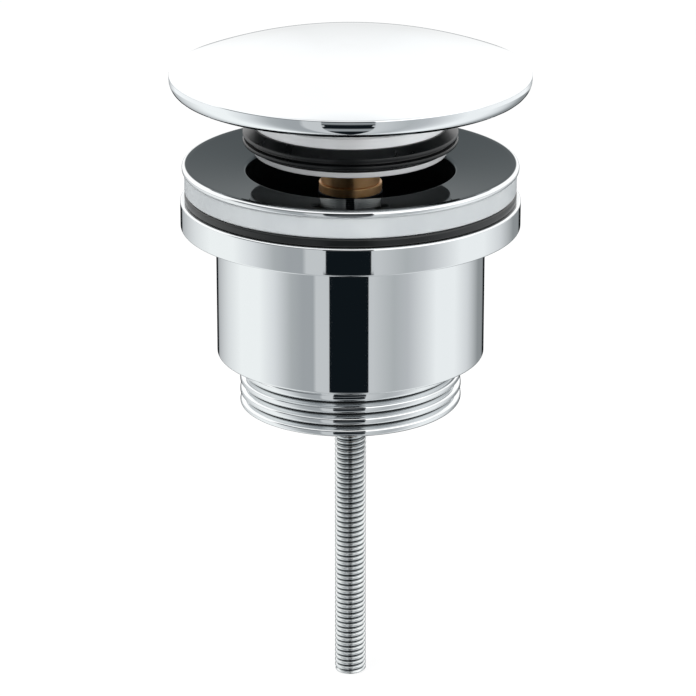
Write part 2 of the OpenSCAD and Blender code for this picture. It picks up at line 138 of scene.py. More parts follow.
def rounded(corners, steps=8):
    """Half section with its corners rounded: each arc touches both sides of its corner,
    and its points are spread evenly over the turn. A corner with no rounding is one point."""
    table = np.array(corners, float)
    point, radius = table[:, :2], table[:, 2]
    back = np.roll(point, 1, 0) - point
    ahead = np.roll(point, -1, 0) - point
    back /= np.linalg.norm(back, axis=1, keepdims=True)
    ahead /= np.linalg.norm(ahead, axis=1, keepdims=True)
    half = np.arccos(np.clip((back * ahead).sum(1), -1, 1)) / 2
    middle = back + ahead
    middle /= np.maximum(np.linalg.norm(middle, axis=1, keepdims=True), TINY)
    centre = point + middle * (radius / np.sin(half))[:, None]
    touch = (radius / np.tan(half))[:, None]
    start = point + back * touch - centre
    end = point + ahead * touch - centre
    first = np.arctan2(start[:, 1], start[:, 0])
    sweep = (np.arctan2(end[:, 1], end[:, 0]) - first + np.pi) % (2 * np.pi) - np.pi
    angle = first[:, None] + sweep[:, None] * np.linspace(0, 1, steps + 1)
    arcs = centre[:, None] + radius[:, None, None] * np.stack([np.cos(angle), np.sin(angle)], -1)
    line = arcs.reshape(-1, 2)
    return line[np.linalg.norm(line - np.roll(line, 1, 0), axis=1) > TINY]


def curve(radius, height):
    """Points of a smooth stretch of a half section, as corners with no rounding."""
    return np.stack([radius, height, np.zeros_like(radius)], -1).tolist()


def turned(section, turns=288):
    """Surface of revolution: a half section's points carried round the axis."""
    angle = np.linspace(0, 2 * np.pi, turns, endpoint=False)[:, None]
    radius, height = section.T
    return np.stack([radius * np.cos(angle), radius * np.sin(angle), height + 0 * angle], -1)


def ridge(phase):
    """Thread form over one pitch, from 0 at the root to 1 at the crest: one less the cube of
    the distance from the crest, in half pitches, with the root's sharp line rounded by ROOT."""
    away = np.hypot(1 - np.abs(2 * (phase % 1) - 1), ROOT)
    return 1 - ((1 - np.minimum(away, 1)) / (1 - ROOT)) ** 3


def threaded(section, pitch, depth, low, high, turns=192):
    """Surface of revolution with a helical groove: between the heights low and high its radius
    falls by depth times one less the thread form, at the phase height / pitch - angle / turn.
    The groove fades in over half a pitch at both ends."""
    grid = turned(section, turns)
    height = grid[..., 2]
    angle = np.linspace(0, 1, turns, endpoint=False)[:, None]
    fade = np.clip((height - low) / (pitch / 2), 0, 1) * np.clip((high - height) / (pitch / 2), 0, 1)
    radius = np.maximum(np.hypot(grid[..., 0], grid[..., 1]), TINY)
    cut = depth * fade * (1 - ridge(height / pitch - angle))
    grid[..., :2] *= (1 - cut / radius)[..., None]
    return grid


def spoke(turn, inner, outer, width, low, high, fall, flare):
    """Spider arm: a superellipse, near a rounded rectangle, carried out along a radius at the angle
    turn. Its top falls towards the wall, and it spreads by flare where it runs into hub and wall."""
    out = np.linspace(inner, outer, 33)
    share = (out - inner) / (outer - inner)
    root = flare * (np.exp(-(out - inner) / flare) + np.exp(-(outer - out) / flare))
    angle = np.linspace(0, 2 * np.pi, 48, endpoint=False)[:, None]
    squared = (np.abs(np.cos(angle)) ** SQUARENESS + np.abs(np.sin(angle)) ** SQUARENESS) ** (-1 / SQUARENESS)
    upper = high - fall * share
    side = squared * np.cos(angle) * (width / 2 + root)
    height = (upper + low) / 2 + squared * np.sin(angle) * ((upper - low) / 2 + root / 3)
    grid = np.stack([out * math.cos(turn) - side * math.sin(turn),
                     out * math.sin(turn) + side * math.cos(turn), height], -1)
    grid[:, 0] = grid[:, 0].mean(0)
    grid[:, -1] = grid[:, -1].mean(0)
    return grid


def coil(radius, wire, rise, turns):
    """Spring: a circle of the wire's radius carried along a helix whose height is rise(turn)."""
    turn = np.linspace(0, turns, 48 * turns + 1)
    angle = 2 * np.pi * turn
    around = np.linspace(0, 2 * np.pi, 16, endpoint=False)[:, None]
    out = radius + wire / 2 * np.cos(around)
    grid = np.stack([out * np.cos(angle), out * np.sin(angle), rise(turn) + wire / 2 * np.sin(around)], -1)
    grid[:, 0] = grid[:, 0].mean(0)
    grid[:, -1] = grid[:, -1].mean(0)
    return grid


def skin(grid):
    """Vertices, normals and faces of a grid that closes on itself both ways. The normal is the
    cross product of the central differences along both parameters. A row that has shrunk to one
    point becomes a pole, and the sign of the volume turns the faces outwards."""
    turns, rows = grid.shape[:2]
    normal = np.cross(np.roll(grid, -1, 0) - np.roll(grid, 1, 0), np.roll(grid, -1, 1) - np.roll(grid, 1, 1))
    pole = np.ptp(grid, axis=0).max(axis=1) < TINY
    beside = np.roll(normal, 1, 1) + np.roll(normal, -1, 1)
    normal[:, pole] = beside[:, pole].mean(axis=0)
    normal /= np.maximum(np.linalg.norm(normal, axis=2, keepdims=True), 1e-30)
    index = np.arange(turns * rows).reshape(turns, rows)
    index[:, pole] = index[0, pole]
    after = np.roll(index, -1, 1)
    quads = np.stack([index, np.roll(index, -1, 0), np.roll(after, -1, 0), after], -1).reshape(-1, 4)
    points = grid.reshape(-1, 3)
    a, b, c, d = points[quads.T]
    volume = (a * (np.cross(b, c) + np.cross(c, d))).sum()
    normal = normal.reshape(-1, 3)
    if volume < 0:
        quads = quads[:, ::-1]
        normal = -normal
    ends = quads[:, 0] == quads[:, 1]
    tips = quads[:, 2] == quads[:, 3]
    kept = [quads[~ends & ~tips], quads[ends & ~tips][:, [0, 2, 3]], quads[tips & ~ends][:, :3]]
    used = np.unique(np.concatenate([k.ravel() for k in kept]))
    place = np.zeros(len(points), int)
    place[used] = np.arange(len(used))
    return points[used], normal[used], [place[k] for k in kept]


def mesh_of(name, material, grids):
    """Smooth mesh of closed grids, given in millimetres, with its normals taken from the surfaces."""
    parts = [skin(grid * MM) for grid in grids]
    first = np.cumsum([0] + [len(p[0]) for p in parts])
    faces = [f for start, p in zip(first, parts) for k in p[2] for f in (k + start).tolist()]
    mesh = bpy.data.meshes.new(name)
    mesh.from_pydata(np.concatenate([p[0] for p in parts]), [], faces)
    mesh.shade_smooth()
    mesh.normals_split_custom_set_from_vertices(np.concatenate([p[1] for p in parts]))
    mesh.materials.append(material)
    thing = bpy.data.objects.new(name, mesh)
    bpy.context.scene.collection.objects.link(thing)
    return thing


def body_of(node):
    """Body that carries a node."""
    return next(body for body, members in bodies.items() if node in members)


def finish_piece(name, node, slot, material, *grids):
    """A finished piece in the place of a node: it rides on the node's body."""
    thing = mesh_of(name, material, grids)
    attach(thing, body_of(node))
    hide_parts(node)
    return thing


def new_material(name):
    """Material with one Principled shader, and its tree, shader and object coordinates."""
    material = bpy.data.materials.new(name)
    material.use_nodes = True
    tree = material.node_tree
    tree.nodes.clear()
    shader = add_node(tree, "ShaderNodeBsdfPrincipled")
    add_node(tree, "ShaderNodeOutputMaterial", {"Surface": shader.outputs["BSDF"]})
    place = add_node(tree, "ShaderNodeTexCoord").outputs["Object"]
    return material, tree, shader, place


def set_inputs(shader, **values):
    """Sets a shader's sockets to constants, with spaces in their names written as underscores."""
    for name, value in values.items():
        shader.inputs[name.replace("_", " ")].default_value = value


def cloud(tree, place, size_mm, detail=3.0):
    """Soft noise whose patches are about size_mm across, as a value from 0 to 1."""
    settings = {"Vector": place, "Scale": 1 / (size_mm * MM), "Detail": detail}
    return add_node(tree, "ShaderNodeTexNoise", settings).outputs["Fac"]


def between(tree, shader, socket, value, low, high):
    """Drives a shader's number or colour from low to high over the middle of a noise value."""
    if isinstance(low, str):
        made = blend(tree, value, NOISE_LOW, NOISE_HIGH, linear(low), linear(high))
    else:
        ends = {"Value": value, "From Min": NOISE_LOW, "From Max": NOISE_HIGH, "To Min": low, "To Max": high}
        made = add_node(tree, "ShaderNodeMapRange", ends).outputs["Result"]
    tree.links.new(made, shader.inputs[socket])


def blend(tree, value, low, high, below, above):
    """Colour that goes from below to above while a value goes from low to high."""
    share = {"Value": value, "From Min": low, "From Max": high}
    share = add_node(tree, "ShaderNodeMapRange", share).outputs["Result"]
    return add_node(tree, "ShaderNodeMix", {0: share, 6: below, 7: above}, data_type="RGBA").outputs[2]


def radius_of(tree, place):
    """Distance from the axis, in metres."""
    level = {0: place, 1: (1.0, 1.0, 0.0)}
    level = add_node(tree, "ShaderNodeVectorMath", level, operation="MULTIPLY").outputs["Vector"]
    return add_node(tree, "ShaderNodeVectorMath", {0: level}, operation="LENGTH").outputs["Value"]


def bump(tree, shader, value, depth_mm, strength):
    """Raises a shader's surface by depth_mm where value is 1."""
    wiring = {"Height": value, "Distance": depth_mm * MM, "Strength": strength}
    raised = add_node(tree, "ShaderNodeBump", wiring).outputs["Normal"]
    tree.links.new(raised, shader.inputs["Normal"])


def buffed(tree, shader, place):
    """Slight waviness of buffed metal: soft swells about 9 mm wide and 0.004 mm high."""
    bump(tree, shader, cloud(tree, place, 9, 1.0), 0.004, 0.25)


# Bright chromium plate over polished brass. The eye gets a cold mirror, with a faint polishing
# haze in patches about two centimetres wide and the slight waviness of buffed metal.
def bright_chrome():
    material, tree, shader, place = new_material("bright_chromium_plate")
    set_inputs(shader, Metallic=1.0)
    haze = cloud(tree, place, 22)
    between(tree, shader, "Base Color", haze, CHROME, "#e9ecee")
    between(tree, shader, "Roughness", haze, 0.025, 0.05)
    buffed(tree, shader, place)
    return material


# The same plate, pearl blasted. The eye gets a pale, milky metal that hardly mirrors.
def satin_chrome():
    material, tree, shader, place = new_material("satin_chromium_plate")
    set_inputs(shader, Metallic=0.25)
    haze = cloud(tree, place, 10)
    between(tree, shader, "Base Color", haze, "#eceeef", "#f4f5f6")
    between(tree, shader, "Roughness", haze, 0.28, 0.34)
    bump(tree, shader, cloud(tree, place, 0.5), 0.002, 0.2)
    return material


# Plated casting: bright chromium, with a painted dark reflection (a dark grey base and a dimmer specular)
# above the height face within the radius edge, and painted shade (a near black, rough base) within the radius
# bore, down to the height skirt. The eye gets a mirror, a smooth dark grey face and a dull, near black inside.
def plated_casting(name, bore, skirt, edge, face):
    material, tree, shader, place = new_material(name)
    set_inputs(shader, Metallic=1.0)
    out = radius_of(tree, place)
    height = add_node(tree, "ShaderNodeSeparateXYZ", {"Vector": place}).outputs["Z"]
    # Painted shade: near black and rough inside the bore, down to the skirt.
    painted_shade = blend(tree, out, (bore - BORE_BORDER) * MM, (bore + BORE_BORDER) * MM, WHITE, BLACK)
    painted_shade = blend(tree, height, (skirt - SKIRT_BORDER) * MM, skirt * MM, BLACK, painted_shade)
    # Painted dark reflection: dark grey with a dimmer specular on the face above its height, inside the edge.
    dark_reflection = blend(tree, out, (edge - BORDER) * MM, (edge + BORDER) * MM, WHITE, BLACK)
    dark_reflection = blend(tree, height, (face - BORDER) * MM, face * MM, BLACK, dark_reflection)
    tone = blend(tree, dark_reflection, 0, 1, linear(CHROME), linear("#404446"))
    tree.links.new(blend(tree, painted_shade, 0, 1, tone, linear("#303436")), shader.inputs["Base Color"])
    tree.links.new(blend(tree, dark_reflection, 0, 1, WHITE, linear("#c9cccd")), shader.inputs["Specular Tint"])
    dull = add_node(tree, "ShaderNodeMapRange", {"Value": painted_shade, "To Min": 0.035, "To Max": 0.38})
    tree.links.new(dull.outputs["Result"], shader.inputs["Roughness"])
    buffed(tree, shader, place)
    return material


# Free-cutting brass, turned. The eye gets warm metal with fine feed lines round the axis, drawn
# as coarse as FEED so that they show, which draw its highlights out along the axis, and a patchy
# tarnish. Above the height plated it is nickel plated, and smoother.
def turned_brass(name, plated):
    material, tree, shader, place = new_material(name)
    set_inputs(shader, Metallic=1.0, Anisotropic=0.85, Anisotropic_Rotation=0.25)
    around = add_node(tree, "ShaderNodeTangent", direction_type="RADIAL", axis="Z").outputs["Tangent"]
    tree.links.new(around, shader.inputs["Tangent"])
    tarnish = cloud(tree, place, 3)
    warm = blend(tree, tarnish, NOISE_LOW, NOISE_HIGH, linear("#d8a872"), linear("#e6bd8c"))
    height = add_node(tree, "ShaderNodeSeparateXYZ", {"Vector": place}).outputs["Z"]
    low, high = plated * MM, (plated + BORDER) * MM
    tone = blend(tree, height, low, high, warm, linear("#f0efec"))
    tree.links.new(tone, shader.inputs["Base Color"])
    worn = {"Value": tarnish, "From Min": NOISE_LOW, "From Max": NOISE_HIGH, "To Min": 0.36, "To Max": 0.44}
    worn = add_node(tree, "ShaderNodeMapRange", worn).outputs["Result"]
    smooth = {"Value": height, "From Min": low, "From Max": high, "To Min": worn, "To Max": 0.1}
    smooth = add_node(tree, "ShaderNodeMapRange", smooth).outputs["Result"]
    tree.links.new(smooth, shader.inputs["Roughness"])
    bands = {"Vector": place, "Scale": METRE_WAVE / (FEED * MM), "Distortion": 0.4}
    lines = add_node(tree, "ShaderNodeTexWave", bands, bands_direction="Z").outputs["Fac"]
    bump(tree, shader, lines, 0.012, 0.6)
    return material


# Synthetic rubber, compression moulded. The eye gets a near black with a soft sheen, a fine
# mould grain of about 0.4 mm and a faint grey bloom.
def moulded_rubber():
    material, tree, shader, place = new_material("moulded_black_rubber")
    set_inputs(shader, IOR=1.5)
    bloom = cloud(tree, place, 6)
    between(tree, shader, "Base Color", bloom, "#060809", "#0d1011")
    between(tree, shader, "Roughness", bloom, 0.26, 0.36)
    bump(tree, shader, cloud(tree, place, 0.4), 0.01, 0.3)
    return material


# White silicone, moulded. The eye gets a milky, slightly see-through ring with a satin skin.
def white_silicone():
    material, tree, shader, place = new_material("milky_white_silicone")
    set_inputs(shader, IOR=1.41, Subsurface_Weight=0.5, Subsurface_Scale=2 * MM,
               Subsurface_Radius=(1.0, 1.0, 1.0))
    milk = cloud(tree, place, 8)
    between(tree, shader, "Base Color", milk, "#c3c8cb", "#cdd2d4")
    between(tree, shader, "Roughness", milk, 0.3, 0.42)
    bump(tree, shader, cloud(tree, place, 0.6), 0.006, 0.2)
    return material


# Zinc plated steel, thread rolled. The eye gets a satin grey metal with a cloudy passivation tint,
# and painted shade: dark grey near the axis, in the roots of the screw's thread.
def zinc_steel():
    material, tree, shader, place = new_material("zinc_plated_steel")
    set_inputs(shader, Metallic=1.0)
    tint = blend(tree, cloud(tree, place, 5), NOISE_LOW, NOISE_HIGH, linear("#d2d5d6"), linear("#dfe1e1"))
    # Painted shade: the thread's roots, near the axis, are dark grey.
    tone = blend(tree, radius_of(tree, place), ROOT_SHADE_R * MM, ROOT_SHADE_END_R * MM, linear("#4a4f51"), tint)
    tree.links.new(tone, shader.inputs["Base Color"])
    grit = cloud(tree, place, 1.5)
    between(tree, shader, "Roughness", grit, 0.17, 0.24)
    bump(tree, shader, grit, 0.002, 0.2)
    return material


# Acetal, injection moulded. The eye gets an ivory plastic with a waxy sheen.
def waxy_acetal():
    material, tree, shader, place = new_material("ivory_acetal")
    set_inputs(shader, IOR=1.48, Subsurface_Weight=0.2, Subsurface_Scale=1 * MM)
    wax = cloud(tree, place, 2)
    between(tree, shader, "Base Color", wax, "#e4dfd0", "#efece2")
    between(tree, shader, "Roughness", wax, 0.32, 0.45)
    return material


# Borders of finishes, painted shade and painted dark reflection on flange, tail and sleeve, and a height past
# them all
THROAT_R = 19.4
NECK_Z = -12.0
FLANGE_ROUND = 0.65
REFLECTION_DARK_Z = 2.6
TAIL_SHADE_R = 20.0
TIP_Z = 4.2
FAR = 1000
flange_r = reach("valve_body")
chrome = bright_chrome()
satin = satin_chrome()
# The flange's dish face takes a painted dark reflection, and its throat and the tail's bore take painted
# shade.
casting = plated_casting("chromium_casting_painted_shade_and_reflection", THROAT_R + BORE_BORDER, NECK_Z,
                         flange_r - FLANGE_ROUND, REFLECTION_DARK_Z)
tail_plate = plated_casting("chromium_casting_painted_bore_shade", TAIL_SHADE_R, -FAR, flange_r, FAR)
brass = turned_brass("turned_brass", FAR)
tipped = turned_brass("nickel_tipped_brass", TIP_Z)
rubber = moulded_rubber()
silicone = white_silicone()
steel = zinc_steel()
acetal = waxy_acetal()

# Plug: heights, radii and walls of its pieces
SHELL = 2.4
DOME_H = 6.4
RIM_H = 3.7
RIM_ROUND = 2.6
BROW_ROUND = 0.35
BOSS_WALL = 1.95
SOCKET_WALL = 2.5
GROOVE_DEPTH = 2
WELL_R = 6.9
WELL_FLOOR = 1.5
TENON_H = 2.0
TENON_WALL = 1.25
BAND_H = 1.9
STEP = 0.4
FIT = 0.05
SEAL_FOOT_OUT = 0.325
SEAL_FOOT_H = 0.9
LIP_H = 0.85
NOTCH_DEPTH = 0.9
NOTCH_H = 0.65
BRIM_H = 0.6
collar_r = reach("plug_spool")
neck_in_r = collar_r - STEP
groove_r = collar_r - GROOVE_DEPTH
socket_r = collar_r - SOCKET_WALL
seal_foot = foot("plug_seal")
seal_top = top("plug_seal")
spool_top = top("plug_spool")
seat_z = spool_top - TENON_H


def cap_section():
    """Half section of the cap: a shallow sphere, a short rim that rolls under, and a hollow
    that follows the sphere a shell's thickness below it, with a skirt and a boss."""
    cap_r, apex = reach("plug_cap"), top("plug_cap")
    cap_z = apex - DOME_H - RIM_H
    insert_r = reach("plug_insert") + FIT
    insert_z, insert_top = foot("plug_insert"), top("plug_insert")
    boss_r = insert_r + BOSS_WALL
    edge_r = cap_r - BROW_ROUND
    sphere = (edge_r ** 2 + DOME_H ** 2) / (2 * DOME_H)
    lip_r = cap_r - RIM_ROUND - SHELL / 2

    def dome(radius, below=0.0):
        return apex - below - sphere + np.sqrt(sphere ** 2 - np.square(radius))

    over = np.linspace(0, edge_r - 0.3, 64)
    outer_hollow = np.linspace(lip_r - 2, collar_r + 2, 12)
    inner_hollow = np.linspace(socket_r - 2, boss_r + 2, 8)
    return rounded([
        *curve(over, dome(over)), (cap_r, dome(cap_r), BROW_ROUND), (cap_r, cap_z, RIM_ROUND),
        (lip_r, cap_z, 0.4), (lip_r, dome(lip_r, SHELL), 1.2),
        *curve(outer_hollow, dome(outer_hollow, SHELL)),
        (neck_in_r, dome(neck_in_r, SHELL), 0.8), (neck_in_r, seat_z, 0.15), (socket_r, seat_z, 0.15),
        (socket_r, dome(socket_r, SHELL), 0.8), *curve(inner_hollow, dome(inner_hollow, SHELL)),
        (boss_r, dome(boss_r, SHELL), 0.8), (boss_r, insert_z, 0.2), (insert_r, insert_z, 0.2),
        (insert_r, insert_top, 0.1), (0, insert_top, 0),
    ])


def spool_section():
    """Half section of the collar: bright ring, groove for the seal, wide band, neck and tenon."""
    ring_z = foot("plug_spool")
    tenon_r = socket_r - FIT
    hollow_r = tenon_r - TENON_WALL
    floor_z = seal_top + WELL_FLOOR
    return rounded([
        (WELL_R, ring_z, 0.2), (collar_r, ring_z, 0.28), (collar_r, seal_foot, 0.1),
        (groove_r, seal_foot, 0.1), (groove_r, seal_top, 0.1), (collar_r, seal_top, 0.12),
        (collar_r, seal_top + BAND_H, 0.15), (neck_in_r, seal_top + BAND_H + STEP, 0.15),
        (neck_in_r, seat_z, 0.12), (tenon_r, seat_z, 0.1), (tenon_r, spool_top, 0.2),
        (hollow_r, spool_top, 0.2), (hollow_r, floor_z, 0.5), (WELL_R, floor_z, 0.2),
    ])


def seal_section():
    """Half section of the seal: a band in the groove, a foot, a round lip, a notch and a shoulder."""
    lip_r = reach("plug_seal")
    inner_r = groove_r + FIT
    foot_r = collar_r + SEAL_FOOT_OUT
    notch_r = lip_r - NOTCH_DEPTH
    lip_z = seal_foot + SEAL_FOOT_H
    lip_top = lip_z + LIP_H
    brim_z = lip_top + NOTCH_H
    return rounded([
        (inner_r, seal_foot, 0.1), (foot_r, seal_foot, 0.2), (foot_r, lip_z, 0.2), (lip_r, lip_z, 0.3),
        (lip_r, lip_top, 0.3), (notch_r, lip_top, 0.2), (notch_r, brim_z, 0.2), (lip_r, brim_z, 0.15),
        (lip_r, brim_z + BRIM_H, 0.4), (foot_r, seal_top, 0.15), (inner_r, seal_top, 0.1),
    ])


finish_piece("domed_cap", "plug_cap", "chrome", chrome, turned(cap_section()))
finish_piece("seal_collar", "plug_spool", "chrome", satin, turned(spool_section()))
finish_piece("lip_seal", "plug_seal", "black_rubber", rubber, turned(seal_section()))

# Click cartridge: sleeve and barrel that show under the plug
BARREL_COLLAR_H = 1.65
BARREL_BORE_R = 4.3
BARREL_THREAD_R = 5.0
BARREL_ROWS = 14
BARREL_FLOOR = 0.6
BARREL_LIP = 0.7
SPIGOT_R = 4.86
SPIGOT_H = 2.9
SLEEVE_BORE_R = 4.91
SLEEVE_BORE_H = 3.65
SLEEVE_LID = 1.6
barrel_top = top("barrel_cap")
barrel_foot = foot("cartridge_barrel")
collar_top = foot("barrel_cap")
hub_z = collar_top - BARREL_COLLAR_H


def sleeve_section():
    """Half section of the cartridge's upper sleeve, with a fine chamfer at both ends."""
    out_r = reach("barrel_cap")
    stem_r = reach("plunger") + FIT
    lid_z = barrel_top - SLEEVE_LID
    step_z = collar_top + SLEEVE_BORE_H
    return rounded([
        (SLEEVE_BORE_R, collar_top, 0.05), (out_r, collar_top, 0.18), (out_r, barrel_top, 0.4),
        (stem_r, barrel_top, 0.15), (stem_r, lid_z, 0.1), (BARREL_BORE_R, lid_z, 0.1),
        (BARREL_BORE_R, step_z, 0.05), (SLEEVE_BORE_R, step_z, 0.05),
    ])


def barrel_section():
    """Half section of the barrel: a tail for the hub's thread, a collar and a spigot."""
    out_r = reach("cartridge_barrel")
    lip_r = BARREL_BORE_R - BARREL_LIP
    floor_z = barrel_foot + BARREL_FLOOR
    spigot_top = collar_top + SPIGOT_H
    tail = np.arange(hub_z - 0.4, barrel_foot + 0.4, -SCREW_PITCH / BARREL_ROWS)
    return rounded([
        (BARREL_BORE_R, spigot_top, 0.05), (BARREL_BORE_R, floor_z, 0.05), (lip_r, floor_z, 0.05),
        (lip_r, barrel_foot, 0.1), (BARREL_THREAD_R, barrel_foot, 0.3),
        *curve(np.full_like(tail, BARREL_THREAD_R), tail)[::-1], (BARREL_THREAD_R, hub_z, 0.05),
        (out_r, hub_z, 0.12), (out_r, collar_top, 0.18), (SPIGOT_R, collar_top, 0.05),
        (SPIGOT_R, spigot_top, 0.05),
    ])


finish_piece("brass_sleeve", "barrel_cap", "brass", tipped, turned(sleeve_section(), 192))
finish_piece("brass_barrel", "cartridge_barrel", "brass", brass,
             threaded(barrel_section(), SCREW_PITCH, BARREL_DEPTH, barrel_foot, hub_z - 0.6))

# Upper body: dished flange, throat and neck, with a spider that carries the hub
NECK_WALL = 2.6
RIM_T = 1.25
RIM_LAND = 1.4
DISH_DEPTH = 1.2
HUB_R = 6.0
HUB_BORE_R = 5.05
HUB_STRAIGHT = 3.6
HUB_FLARE = 2
SPIDER_R = 8.0
SCREW_HOLE_R = 3.3
ARM_W = 2.4
ARM_H = 6.5
ARM_FALL = 1.6
ARM_FLARE = 0.7
ARM_IN_HUB = 0.4
ARM_IN_WALL = 1.2
flange_top = top("valve_body")
neck_r = THROAT_R + NECK_WALL
hub_foot = foot("valve_body")
shoulder_z = foot("screw_seal")


def dish(radius):
    """Height of the dished face: a cone from the rim down to the edge of the throat."""
    dish_r = flange_r - FLANGE_ROUND
    return flange_top - DISH_DEPTH * (dish_r - radius) / (dish_r - THROAT_R)


def flange_section():
    """Half section of the flange and neck: rolled rim, cone, throat and a plain neck."""
    land_r = flange_r - RIM_LAND
    return rounded([
        (THROAT_R, NECK_Z, 0.3), (neck_r, NECK_Z, 0.6), (neck_r, dish(neck_r) - RIM_T, 0.5),
        (flange_r - 0.1, flange_top - RIM_T, 0.5), (flange_r, flange_top, 0.62),
        (land_r, dish(land_r), 0.5), (THROAT_R, dish(THROAT_R), 0.7),
    ])


def hub_section():
    """Half section of the upper hub: a flared boss, bored for the barrel and for the screw."""
    flare_z = hub_z - HUB_STRAIGHT
    return rounded([
        (SCREW_HOLE_R, hub_foot, 0.2), (SPIDER_R, hub_foot, 0.6), (SPIDER_R, flare_z - HUB_FLARE, 0.8),
        (HUB_R, flare_z, 0.8), (HUB_R, hub_z, 0.12), (HUB_BORE_R, hub_z, 0.1),
        (HUB_BORE_R, shoulder_z, 0.1), (SCREW_HOLE_R, shoulder_z, 0.1),
    ])


def spider(inner, outer, low, high):
    """Four arms a quarter turn apart, on the diagonals."""
    turns = np.pi / 4 + np.arange(4) * np.pi / 2
    return [spoke(turn, inner, outer, ARM_W, low, high, ARM_FALL, ARM_FLARE) for turn in turns]


finish_piece("dished_flange", "valve_body", "chrome", casting, turned(flange_section(), 384))
finish_piece("cast_spider", "valve_body", "chrome", casting, turned(hub_section()),
             *spider(HUB_R - ARM_IN_HUB, THROAT_R + ARM_IN_WALL, NECK_Z, NECK_Z + ARM_H))

# Gaskets: a white one with a soft edge under the flange and a black one on the lower body
WHITE_GAP = 0.3
WHITE_EDGE = 0.7
BLACK_GAP = 0.8


def flange_gasket_section():
    """Half section of the white gasket: a flat foot, a soft outer edge and a conical top."""
    out_r = reach("flange_gasket")
    bore = neck_r + WHITE_GAP
    edge_r = out_r - WHITE_EDGE
    upper = dish(edge_r) - RIM_T
    return rounded([
        (bore, 0, 0.2), (out_r, 0, 0.5), (out_r, upper, 0.35), (edge_r, upper, 0.1),
        (bore, dish(bore) - RIM_T, 0.2),
    ])


def lower_gasket_section():
    """Half section of the black gasket: a flat washer with soft edges."""
    out_r, low = reach("lower_gasket"), foot("lower_gasket")
    bore = neck_r + BLACK_GAP
    return rounded([(bore, low, 0.2), (out_r, low, 0.3), (out_r, 0, 0.5), (bore, 0, 0.2)])


finish_piece("white_gasket", "flange_gasket", "white_rubber", silicone, turned(flange_gasket_section()))
finish_piece("black_gasket", "lower_gasket", "black_rubber", rubber, turned(lower_gasket_section()))

# Lower body: flange, cup and threaded tail, with a spider that carries the bush
LOWER_FLANGE_H = 5.3
BODY_H = 24.95
BODY_GAP = 0.5
BODY_WALL = 2.7
BODY_FLOOR = 2.6
TAIL_R = 20.955
TAIL_WALL = 2.9
TAIL_ROWS = 56
TAIL_RELIEF = 1.2
BUSH_BORE_R = 5.05
ARM_IN_BUSH = 0.8
lower_top = top("lower_body")
lower_flange_z = lower_top - LOWER_FLANGE_H
body_z = lower_flange_z - BODY_H
body_bore_r = neck_r + BODY_GAP
body_r = body_bore_r + BODY_WALL
tail_z = foot("lower_body")
tail_bore_r = TAIL_R - TAIL_WALL
bush_top = top("thread_bush")
bush_z = bush_top - ARM_H


def cup_section():
    """Half section of the lower body: rounded flange, straight cup, rounded foot, tail and bore."""
    out_r = reach("lower_body")
    floor_z = body_z + BODY_FLOOR
    tail = np.arange(body_z - 0.5, tail_z + 0.6, -TAIL_PITCH / TAIL_ROWS)
    return rounded([
        (body_bore_r, lower_top, 0.3), (out_r, lower_top, 0.4), (out_r, lower_flange_z, 0.4),
        (body_r, lower_flange_z, 0.25), (body_r, body_z, 0.5), (TAIL_R, body_z, 0.2),
        *curve(np.full_like(tail, TAIL_R), tail), (TAIL_R, tail_z, 0.5), (tail_bore_r, tail_z, 0.3),
        (tail_bore_r, floor_z, 0.4), (body_bore_r, floor_z, 0.6),
    ])


def bush_hub_section():
    """Half section of the lower spider's hub."""
    return rounded([
        (BUSH_BORE_R, bush_z, 0.2), (SPIDER_R, bush_z, 0.5), (SPIDER_R, bush_top, 0.5),
        (BUSH_BORE_R, bush_top, 0.2),
    ])


finish_piece("threaded_cup", "lower_body", "chrome", tail_plate,
             threaded(cup_section(), TAIL_PITCH, TAIL_DEPTH, tail_z - TAIL_PITCH, body_z - TAIL_RELIEF, 240),
             turned(bush_hub_section()),
             *spider(SPIDER_R - ARM_IN_BUSH, tail_bore_r + ARM_IN_WALL, bush_z, bush_top))

# Clamp screw: socket head in the hub, threaded shank down to its point
SCREW_R = 3.0
SCREW_ROWS = 20
SCREW_TURNS = 48
PLAIN_SHANK = 2
HEAD_H = 4.6
SOCKET_AF = 5.0
SOCKET_DEPTH = 2.8
screw_end = foot("clamp_screw")
head_top = top("clamp_screw")
head_z = head_top - HEAD_H
head_r = reach("clamp_screw")


def screw_grid():
    """Screw: a turned head and shank with a helical groove. In the socket the radius is that
    of a hexagon, half its width over the cosine of the angle from the nearest flat."""
    low = head_top - SOCKET_DEPTH
    hex_r = SOCKET_AF / 2
    shank = np.arange(head_z - 0.5, screw_end + 0.7, -SCREW_PITCH / SCREW_ROWS)
    section = rounded([
        (0, low, 0), (hex_r, low, 0.05), (hex_r, head_top, 0.08), (head_r, head_top, 0.4),
        (head_r, head_z, 0.2), (SCREW_R, head_z, 0.2), *curve(np.full_like(shank, SCREW_R), shank),
        (SCREW_R, screw_end, 0.5), (0, screw_end, 0),
    ])
    first, last = screw_end - SCREW_PITCH / 2, head_z - PLAIN_SHANK
    grid = threaded(section, SCREW_PITCH, SCREW_DEPTH, first, last, SCREW_TURNS)
    angle = np.linspace(0, 2 * np.pi, SCREW_TURNS, endpoint=False)
    flat = 1 / np.cos((angle + np.pi / 6) % (np.pi / 3) - np.pi / 6)
    inside = (section[:, 0] <= hex_r + 0.1) & (section[:, 1] >= low - TINY)
    grid[:, inside, :2] *= flat[:, None, None]
    return grid


finish_piece("threaded_rod", "clamp_screw", "steel", steel, screw_grid())

# Return spring: close coils at both ends and open between them
SPRING_WIRE = 0.7
SPRING_TURNS = 6
CLOSE_COIL = 1.06
spring_foot = foot("return_spring")
spring_l = top("return_spring") - spring_foot


